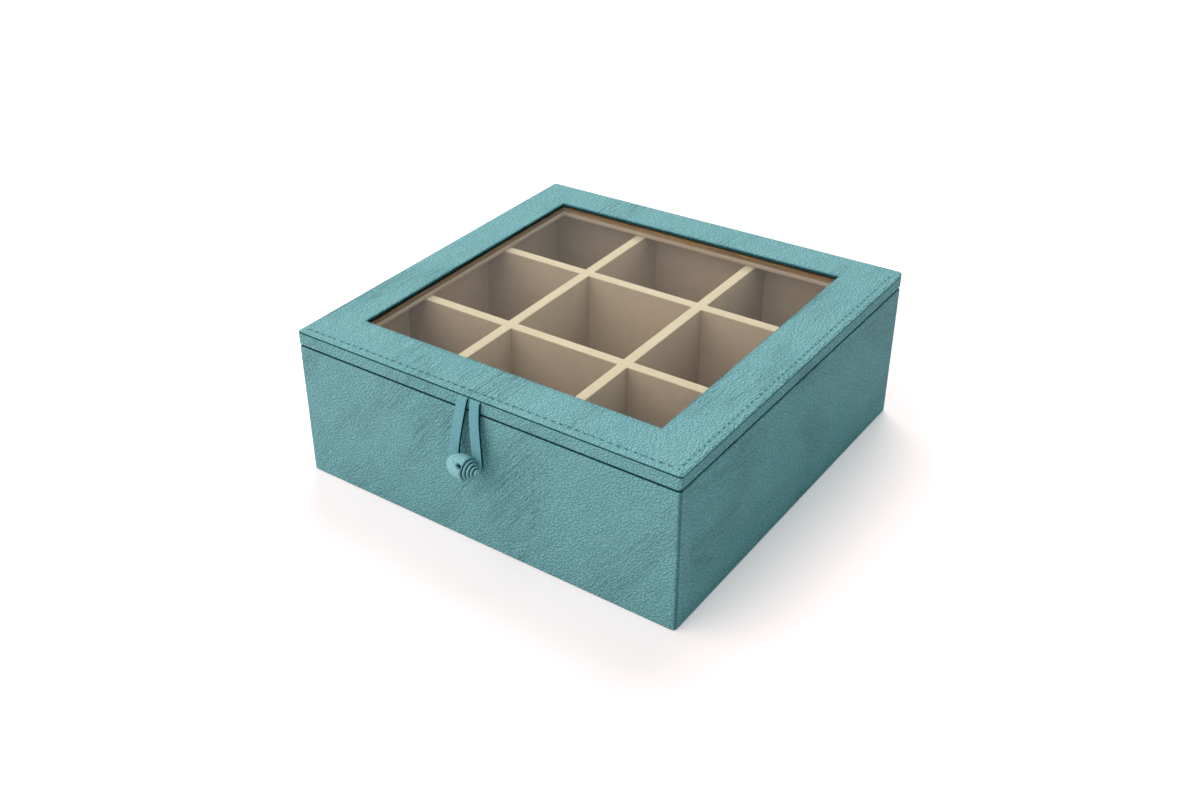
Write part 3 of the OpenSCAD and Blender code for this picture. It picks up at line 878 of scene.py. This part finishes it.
def stitchCells(bm, t, rowX, rowY):
    # the faces along the two rows that each hold one stitch place
    cells = []
    for face in bm.faces:
        c = middle(face)
        onFront = abs(c.y - rowY) < t["cellReach"] and c.x < rowX + t["channel"]
        onRight = abs(c.x - rowX) < t["cellReach"] and c.y > rowY - t["channel"]
        if (onFront or onRight) and reach(c) < abs(rowY) + t["channel"]:
            cells.append(face)
    return cells


def spans(face, x, y):
    xs, ys = [v.co.x for v in face.verts], [v.co.y for v in face.verts]
    return min(xs) < x < max(xs) and min(ys) < y < max(ys)


def punchHole(bm, face, x, y, along, t, mark):
    # turns the middle of a flat cell into a small oval dent, with painted shade on its ring and deeper in
    # it
    bmesh.ops.inset_region(bm, faces=[face], thickness=t["holeMargin"], use_even_offset=True)
    bmesh.ops.subdivide_edges(bm, edges=face.edges[:], cuts=1)
    length, width = t["holeLength"] / 2, t["holeWidth"] / 2
    if along == "y":
        length, width = width, length
    for v in face.verts:
        angle = math.atan2((v.co.y - y) / width, (v.co.x - x) / length)
        v.co.x = x + length * math.cos(angle)
        v.co.y = y + width * math.sin(angle)
        v.co.z -= t["channelDepth"]
        v[mark] = t["ringShade"]
    bmesh.ops.inset_region(bm, faces=[face], thickness=t["holeTaper"], use_even_offset=True)
    for v in face.verts:
        v.co.z -= t["holeDepth"]
        v[mark] = 1.0


def punchRows(bm, t, rowX, rowY, mark):
    for side in (-1, 1):
        cut(bm, "x", rowX + side * t["channel"])
        cut(bm, "y", rowY + side * t["channel"])
    places = stitchPlaces(t, rowX, rowY)
    for x, y, along in places:
        if along == "x":
            cut(bm, "x", x - t["pitchFront"] / 2)
        else:
            cut(bm, "y", y - t["pitchRight"] / 2)
    cells = stitchCells(bm, t, rowX, rowY)
    for x, y, along in places:
        face = next((f for f in cells if f.is_valid and spans(f, x, y)), None)
        if face is not None:
            cells.remove(face)
            punchHole(bm, face, x, y, along, t, mark)


def makeLidTop(t):
    low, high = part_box("lid_top_leather")
    windowLow, windowHigh = windowBox(t["glassOverlap"])
    bm = squareSheet(high.x, high.z)
    mark = bm.verts.layers.float.new("painted_shade_and_dye")
    bevel(bm, bm.verts[:], t["corner"], cornerSteps, "VERTICES")
    for axis, start, end in zip("xy", windowLow, windowHigh):
        cut(bm, axis, start)
        cut(bm, axis, end)
    window = [
        f for f in bm.faces
        if windowLow.x < middle(f).x < windowHigh.x and windowLow.y < middle(f).y < windowHigh.y
    ]
    removeFaces(bm, window)
    for step in t["rollSteps"]:
        for side in (-1, 1):
            cut(bm, "x", side * (high.x - t["rollWidth"] * (1 - step)))
    rowX, rowY = stitchRows(t, high)
    punchRows(bm, t, rowX, rowY, mark)
    openEdges = [e for e in bm.edges if e.is_boundary]
    outer = [e for e in openEdges if reach(e.verts[0].co) > high.x - t["corner"] - mm]
    inner = [e for e in openEdges if e not in outer]
    # the turned-down edges take painted shade
    for rim, drop in ((outer, t["frontSkive"]), (inner, high.z - low.z)):
        for v in turnDown(bm, rim, drop):
            v[mark] = t["edgeShade"]
    bmesh.ops.recalc_face_normals(bm, faces=bm.faces)
    rims = [e for e in sharpEdges(bm, t["rimBend"]) if isLevel(e, high.z)]
    windowRim = [e for e in rims if reach(e.verts[0].co) < high.x - t["rimReach"]]
    outerRim = [e for e in rims if e not in windowRim]
    bevel(bm, windowRim, *t["windowRound"])
    bevel(bm, [e for e in outerRim if e.is_valid], *t["edgeRound"])
    gridCut(bm, "y", rowY + t["channel"], high.y, t["cell"])
    for v in bm.verts:
        p = v.co
        rolled = min(1.0, (abs(p.x) - (high.x - t["rollWidth"])) / t["rollWidth"])
        if rolled > 0:
            v.co.z -= t["rollDrop"] * (1 - roundEnd(rolled))
        # painted shade fading out over the window's rounding
        aside = max(windowLow.x - p.x, p.x - windowHigh.x, windowLow.y - p.y, p.y - windowHigh.y)
        if aside < t["windowShade"]:
            v[mark] = max(v[mark], t["edgeShade"] * (1 - max(0.0, aside) / t["windowShade"]) ** 2)
        v.co.z -= softDent(p, t) * clamped((high.x - reach(p)) / t["waveFade"])
    layGrain(bm)
    thicken(bm, t["sheet"])
    addPiece("lid_top_sheet", bm, leather, "lid", ["lid_top_leather"], foldAngle)


makeLidTop(lidTop)


thread = dict(
    radius=0.24 * mm,
    sides=8,
    rings=6,
    lift=0.10 * mm,
    bed=0.6,  # share of the channel's depth at which the thread lies
    tuck=0.55 * mm,
    frontSink=0.26 * mm,
)


def makeThread(k, t):
    # short stitches between neighbouring holes, their ends tucked in
    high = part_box("lid_top_leather")[1]
    bm = bmesh.new()
    places = stitchPlaces(t, *stitchRows(t, high))
    front = [p for p in places if p[2] == "x"]
    right = [front[0]] + [p for p in places if p[2] == "y"]
    for row, sink in ((front, k["frontSink"]), (right, 0.0)):
        for a, b in zip(row, row[1:]):
            start, end = Vector((a[0], a[1], 0)), Vector((b[0], b[1], 0))
            span = (end - start).length - 2 * k["tuck"]
            verts = bmesh.ops.create_uvsphere(
                bm, u_segments=k["sides"], v_segments=k["rings"], radius=k["radius"]
            )["verts"]
            for v in verts:  # pulls the ball out to a stitch along its own axis
                v.co.z += 0 if near(v.co.z, 0, 1e-9) else math.copysign(span / 2 - k["radius"], v.co.z)
            lay = (end - start).to_track_quat("Z", "Y").to_matrix()
            bmesh.ops.rotate(bm, verts=verts, cent=(0, 0, 0), matrix=lay)
            centre = (start + end) / 2
            centre.z = high.z - t["channelDepth"] * k["bed"] - k["radius"] + k["lift"] - sink
            move(bm, verts, centre)
    layGrain(bm)
    addPiece("lid_stitching", bm, strapLeather, "lid")


makeThread(thread, lidTop)


lidEdge = dict(
    corner=2.4 * mm,
    thickness=1.1 * mm,
    sheet=0.5 * mm,
    frontTop=89.85 * mm,  # the strip's top edge under the front seam
    sideTop=89.05 * mm,  # and under the rolled sides
    topRound=(0.4 * mm, 3),
    baseRound=(0.7 * mm, 3),
    turnUnder=12.0 * mm,
    cell=6.0 * mm,
    cellHeight=2.6 * mm,
    stretchFrom=0.4,  # share of the height from which the strip is let down
    # painted shade: a dark line under the seam along the top, and in the groove along the base
    topBand=0.20 * mm,
    baseBand=0.25 * mm,
    edgeShade=0.9,
    wave=0.12 * mm,
    waveLength=30.0 * mm,
    waveSeed=5.3,
)


def makeLidEdge(k):
    low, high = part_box("lid_edge_leather")
    high = Vector((high.x, high.y, k["frontTop"]))
    bm = boxMesh(low, high)
    mark = bm.verts.layers.float.new("painted_shade_and_dye")
    openEnd(bm, 1, k["thickness"])
    openEnd(bm, -1, k["turnUnder"])
    bevel(bm, cornerEdges(bm, high.x, high.y), k["corner"], cornerSteps)
    bevel(bm, levelEdges(bm, high.z), *k["topRound"])
    bevel(bm, levelEdges(bm, low.z), *k["baseRound"])
    for axis, start, end, cell in zip("xyz", low, high, (k["cell"], k["cell"], k["cellHeight"])):
        gridCut(bm, axis, start, end, cell)
    recalc(bm)
    for v in bm.verts:
        p = v.co.copy()
        # painted shade along the seam and the groove
        atEdge = p.z > high.z - k["topBand"] or p.z < low.z + k["baseBand"]
        v[mark] = k["edgeShade"] if atEdge else 0
        onRight = clamped((abs(p.x) - abs(p.y)) / (2 * k["corner"]) + 0.5)
        raised = (p.z - low.z) / (high.z - low.z) - k["stretchFrom"]
        raised = max(0.0, raised) / (1 - k["stretchFrom"])
        v.co.z -= (k["frontTop"] - k["sideTop"]) * onRight * raised
        if reach(p) > high.x - outerSlack:
            pushIn(v, softDent(p, k))
    layGrain(bm)
    thicken(bm, k["sheet"])
    addPiece("lid_edge_strip", bm, leather, "lid", ["lid_edge_leather"], foldAngle)


makeLidEdge(lidEdge)


strap = dict(
    width=6.6 * mm,
    thickness=1.4 * mm,
    bendHeight=55.1 * mm,  # where the arms turn into the bottom bend
    bendSquash=0.76,
    bendPath=0.82,  # the bend's length against a quarter circle's
    # half the gap between the arms: (millimetres above the bend, half gap)
    halfGaps=((0.0, 4.4), (8.9, 3.5), (14.9, 2.7), (20.9, 1.85), (26.9, 1.15), (32.9, 0.6), (60.0, 0.5)),
    # its outer face from below the bend to the fold, as (y, z) in millimetres
    foot=(-126.4, 45.0),
    footHandle=(-126.35, 58.0),
    kneeHandle=(-124.9, 78.0),
    shoulder=(-121.5, 88.3),
    foldHandles=((-121.15, 89.35), (-120.7, 89.68)),
    foldEnd=(-120.0, 89.68),
    tailEnd=(-99.0, 89.68),
    rows=220,
    columns=6,
    edgeRound=(0.2 * mm, 2),
    dyedAndShadedSide=0.6,  # faces that look further aside than this are cut edges
    dyedAndShadedUnder=0.3,  # as are those of the bend that face less forward
)


def runLengths(points):
    total = [0.0]
    for a, b in zip(points, points[1:]):
        total.append(total[-1] + (b - a).length)
    return total


def alongPath(points, lengths, s):
    # the point at length s of the path
    s = max(0.0, min(s, lengths[-1]))
    i = 0
    while i < len(points) - 2 and lengths[i + 1] < s:
        i += 1
    return points[i].lerp(points[i + 1], (s - lengths[i]) / (lengths[i + 1] - lengths[i]))


def strapSide(k):
    # the strap's outer face seen from the side
    def at(yz):
        return Vector((0, *yz)) * mm

    rise = [at(k[label]) for label in ("foot", "footHandle", "kneeHandle", "shoulder")]
    fold = [at(yz) for yz in (k["shoulder"], *k["foldHandles"], k["foldEnd"])]
    path = geometry.interpolate_bezier(*rise, 40) + geometry.interpolate_bezier(*fold, 10)[1:]
    return path + [at(k["tailEnd"])]


def straightBetween(pairs, x):
    for (x0, y0), (x1, y1) in zip(pairs, pairs[1:]):
        if x <= x1:
            return y0 + (y1 - y0) * max(0.0, (x - x0) / (x1 - x0))
    return pairs[-1][1]


def makeStrap(k):
    side = strapSide(k)
    lengths = runLengths(side)
    bendAt = next(length for p, length in zip(side, lengths) if p.z >= k["bendHeight"])
    gapAtBend = k["halfGaps"][0][1] * mm
    bendLength = (gapAtBend + k["width"] / 2) * math.pi / 2 * k["bendPath"]
    total = lengths[-1] - bendAt + bendLength
    bm = bmesh.new()
    mark = bm.verts.layers.float.new("painted_shade_and_dye")
    bmesh.ops.create_grid(bm, x_segments=k["columns"], y_segments=k["rows"], size=1)
    uv = bm.loops.layers.uv.verify()
    flat = {}
    for v in bm.verts:
        across, along = (v.co.x + 1) / 2 * k["width"], v.co.y
        way = 1 if along >= 0 else -1
        d = abs(along) * total
        if d > bendLength:
            up = d - bendLength
            x, s = way * (straightBetween(k["halfGaps"], up / mm) * mm + across), bendAt + up
        else:
            angle = d / bendLength * math.pi / 2
            out = gapAtBend + across
            x, s = way * math.sin(angle) * out, bendAt - math.cos(angle) * out * k["bendSquash"]
        place = alongPath(side, lengths, s)
        flat[v] = (x, s)
        v.co = Vector((x, place.y, place.z))
    for face in bm.faces:
        for loop in face.loops:
            loop[uv].uv = flat[loop.vert]
    for _ in range(2):  # eases the kinks between the half gaps
        bmesh.ops.smooth_vert(bm, verts=bm.verts, factor=0.5, use_axis_x=True)
    bmesh.ops.recalc_face_normals(bm, faces=bm.faces)
    if min(bm.faces, key=lambda f: middle(f).y).normal.y > 0:
        bmesh.ops.reverse_faces(bm, faces=bm.faces)
    thicken(bm, k["thickness"])
    bevel(bm, sharpEdges(bm, squareBend), *k["edgeRound"])
    bm.normal_update()
    for face in bm.faces:  # the cut edges are painted dark: edge dye, with painted shade
        underBend = middle(face).z < k["bendHeight"] and abs(face.normal.y) < k["dyedAndShadedUnder"]
        if abs(face.normal.x) > k["dyedAndShadedSide"] or underBend:
            for v in face.verts:
                v[mark] = 1.0
    stoodFor = ["closure_loop", "loop_anchor"]
    piece = addPiece("closure_strap", bm, strapLeather, None, stoodFor, foldAngle)
    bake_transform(piece)


makeStrap(strap)


toggle = dict(
    radius=6.35 * mm,
    # the left end's outline: (share of the way to the turns, share of the radius)
    leftShape=(
        (0.0, 0.20), (0.04, 0.36), (0.10, 0.50), (0.22, 0.72),
        (0.36, 0.88), (0.55, 0.97), (0.8, 1.0), (1.0, 0.985),
    ),
    leftDome=1.2 * mm,
    tipLength=7.0 * mm,
    tipEnd=1.0 * mm,  # beyond the last turn
    tipDome=1.7 * mm,
    domeSwell=1.15,
    turns=4,
    tipRadius=1.7 * mm,
    turnsFadeIn=3.0 * mm,
    stepSpan=(0.62, 1.0),  # where in a turn the roll steps down
    groove=0.75 * mm,
    grooveWidth=0.11,  # in turns
    grooveFrom=-0.6,
    # painted shade in the grooves between the turns
    shadeWidth=0.15,
    shadeTurns=(-0.3, 3.6),
    shadeGain=1.9,
    bulge=0.35 * mm,
    centre=Vector((0, -131.2, 56.0)) * mm,
    flatBack=4.3 * mm,  # from the axis to the side that lies on the strap
    flatEase=0.6 * mm,
    spotsEnd=1.2 * mm,  # beyond the first turn
    slit=dict(x=3.8 * mm, angle=36.0, length=3.0 * mm, width=2.0 * mm, depth=3.0 * mm, slope=-0.35),
    # painted shade in the slit
    slitGain=1.4,
    lip=dict(x=4.0 * mm, angle=12.0, length=5.0 * mm, width=2.4 * mm, height=0.45 * mm, slope=-0.2),
    crease=dict(x=1.2 * mm, angle=50.0, length=5.0 * mm, width=1.6 * mm, depth=0.55 * mm, slope=-0.7),
    wave=0.10 * mm,
    waveLength=7.0 * mm,
    waveSeed=2.2,
    rings=190,
    ringEase=0.35,  # crowds the rings towards both ends
    sides=144,
    sharpAngle=80,
)


def smoothStep(low, high, value):
    t = clamped((value - low) / (high - low))
    return t * t * (3 - 2 * t)


def rollPhase(k, right, x, turn):
    # how many turns of the strip lie between its start and x
    pitch = (k["tipLength"] - k["tipEnd"]) / k["turns"]
    return (x - (right - k["tipLength"])) / pitch - turn + 0.5


def rollRadius(k, left, right, x, turn):
    # the roll's radius at x, where turn goes from 0 to 1 round it from the back
    rim = right - k["tipLength"]
    phase = rollPhase(k, right, x, turn)
    part = phase - math.floor(phase)
    dropped = max(0.0, math.floor(phase) + 1 + smoothStep(*k["stepSpan"], part)) if phase > -1 else 0.0
    dropped -= smoothStep(rim - k["turnsFadeIn"], rim, x) * (0.5 - turn)
    radius = k["radius"] * straightBetween(k["leftShape"], (x - left) / (rim - left))
    radius -= (k["radius"] - k["tipRadius"]) / k["turns"] * dropped
    if phase > k["grooveFrom"]:
        radius -= k["groove"] * math.exp(-((min(part, 1 - part) / k["grooveWidth"]) ** 2))
        radius += k["bulge"] * math.sin(math.pi * part)
    tipStart = right - k["tipDome"]
    if x > tipStart:
        dome = k["tipRadius"] * k["domeSwell"] * roundEnd((x - tipStart) / (right - tipStart))
        radius = min(radius, dome)
    if x < left + k["leftDome"]:
        radius *= roundEnd((left + k["leftDome"] - x) / k["leftDome"])
    return max(radius, 0.0)


def rollGroove(k, right, x, turn):
    # painted shade: 1 in the groove between two turns, falling to 0 beside it
    phase = rollPhase(k, right, x, turn)
    if not k["shadeTurns"][0] < phase < k["shadeTurns"][1]:
        return 0.0
    part = phase - math.floor(phase)
    return math.exp(-((min(part, 1 - part) / k["shadeWidth"]) ** 2))


def pressed(k, spot, x, angle):
    # 1 in the middle of an elongated spot on the roll, falling to 0 round it
    along = x - spot["x"]
    across = math.radians(angle - spot["angle"]) * k["radius"] - along * spot["slope"]
    return math.exp(-((2 * along / spot["length"]) ** 4) - ((2 * across / spot["width"]) ** 2))


def makeToggle(k):
    low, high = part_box("toggle_roll")
    left, right = low.x, high.x
    bm = bmesh.new()
    mark = bm.verts.layers.float.new("painted_shade_and_dye")
    last = None
    for i in range(k["rings"] + 1):
        share = i / k["rings"]
        eased = share - math.sin(2 * math.pi * share) / (2 * math.pi) * k["ringEase"]
        v = bm.verts.new((left + (right - left) * eased, -mm, 0))
        if last:
            bm.edges.new((last, v))
        last = v
    bmesh.ops.spin(
        bm, geom=bm.verts[:] + bm.edges[:], cent=(0, 0, 0), axis=(1, 0, 0),
        angle=2 * math.pi, steps=k["sides"], use_merge=True,
    )
    easeFrom = k["flatBack"] - k["flatEase"]
    for v in bm.verts:
        p = v.co.copy()
        around = math.degrees(math.atan2(p.z, -p.y))  # 0 in front, 90 on top
        turn = (around / 360 + 0.5) % 1.0
        r = rollRadius(k, left, right, p.x, turn)
        # painted shade in the grooves and in the slit
        shade = k["shadeGain"] * rollGroove(k, right, p.x, turn)
        if p.x < right - k["tipLength"] + k["spotsEnd"]:
            slit = pressed(k, k["slit"], p.x, around)
            r -= k["slit"]["depth"] * slit
            r += k["lip"]["height"] * pressed(k, k["lip"], p.x, around)
            r -= k["crease"]["depth"] * pressed(k, k["crease"], p.x, around)
            shade = max(shade, k["slitGain"] * slit)
        v[mark] = min(1.0, shade)
        r += softWave(p, k["waveLength"], k["waveSeed"]) * k["wave"]
        v.co.y, v.co.z = -r * math.cos(math.radians(around)), r * math.sin(math.radians(around))
        if v.co.y > easeFrom:
            v.co.y = easeFrom + k["flatEase"] * math.tanh((v.co.y - easeFrom) / k["flatEase"])
    recalc(bm)
    move(bm, bm.verts, k["centre"])
    layGrain(bm)
    addPiece("toggle_knot", bm, rollLeather, "toggle", ["toggle_roll"], k["sharpAngle"])


makeToggle(toggle)


fourSides = ("front", "back", "left", "right")
edging = dict(round=(0.3 * mm, 3))


def makeEdging(k):
    # the four dividers' pale top edges, flush where they cross
    low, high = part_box("divider_edging")
    bm = squareSheet(high.y, high.z)
    strips = []
    for place, i in zip(fourSides, (1, 1, 0, 0)):
        start, end = (p[i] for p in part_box(place + "_divider_cover"))
        strips.append((i, start, end))
        cut(bm, "xyz"[i], start)
        cut(bm, "xyz"[i], end)
    gone = [f for f in bm.faces if not any(start < middle(f)[i] < end for i, start, end in strips)]
    removeFaces(bm, gone)
    moved = extruded(bmesh.ops.extrude_face_region(bm, geom=bm.faces[:], use_keep_orig=True))
    move(bm, moved, (0, 0, low.z - high.z))
    recalc(bm)
    bevel(bm, [e for e in sharpEdges(bm, squareBend) if isLevel(e, high.z)], *k["round"])
    layGrain(bm)
    addPiece("pale_edging", bm, cream, "box", ["divider_edging"])


makeEdging(edging)


softened = dict(  # how far each kind of part has its sharp edges eased
    divider=0.12 * mm,
    wall=0.35 * mm,
    floor=0.20 * mm,
    lid=0.25 * mm,
    felt=0.30 * mm,
    brass=0.12 * mm,
    steps=2,
    bend=math.radians(40),  # edges that bend more than this are eased
    flatBend=math.radians(1),
    sharpAngle=40,
)


def softCopy(name, node, kind, material, body):
    # the node's own shape with its sharp edges eased
    bm = bmesh.new()
    bm.from_mesh(nodes[node].data)
    bmesh.ops.remove_doubles(bm, verts=bm.verts, dist=1e-6)
    bmesh.ops.dissolve_limit(bm, angle_limit=softened["flatBend"], verts=bm.verts, edges=bm.edges)
    bevel(bm, sharpEdges(bm, softened["bend"]), softened[kind], softened["steps"])
    layGrain(bm)
    addPiece(name, bm, material, body, [node], softened["sharpAngle"])


for place in fourSides:
    softCopy(place + "_divider_suede", place + "_divider_cover", "divider", suede, "box")
    softCopy(place + "_wall_suede", place + "_lining", "wall", suede, "box")
softCopy("floor_suede", "floor_lining", "floor", suede, "box")
softCopy("lid_underside_suede", "lid_lining", "lid", suede, "lid")
softCopy("base_felt_sheet", "base_sheet", "felt", felt, "box")
for side in ("left", "right"):
    softCopy("hinge_body_plate_" + side, "hinge_leaf_body_" + side, "brass", brass, "box")
    softCopy("hinge_lid_plate_" + side, "hinge_leaf_lid_" + side, "brass", brass, "lid")

nodeFinishes = dict(
    glass_pane=glass, lid_top_card=card, toggle_thong=strapLeather, base_board=card,
    lid_rail_front=railWoodX, lid_rail_back=railWoodX, lid_rail_left=shadedRailWoodY, lid_rail_right=shadedRailWoodY,
    hinge_pin_left=brass, hinge_pin_right=brass, hinge_screws_body=brass, hinge_screws_lid=brass,
)
for place in fourSides:
    nodeFinishes.update({place + "_board": card, place + "_divider": card})
for name, material in nodeFinishes.items():
    nodes[name].data.materials.clear()
    nodes[name].data.materials.append(material)
print("frame parts finished")
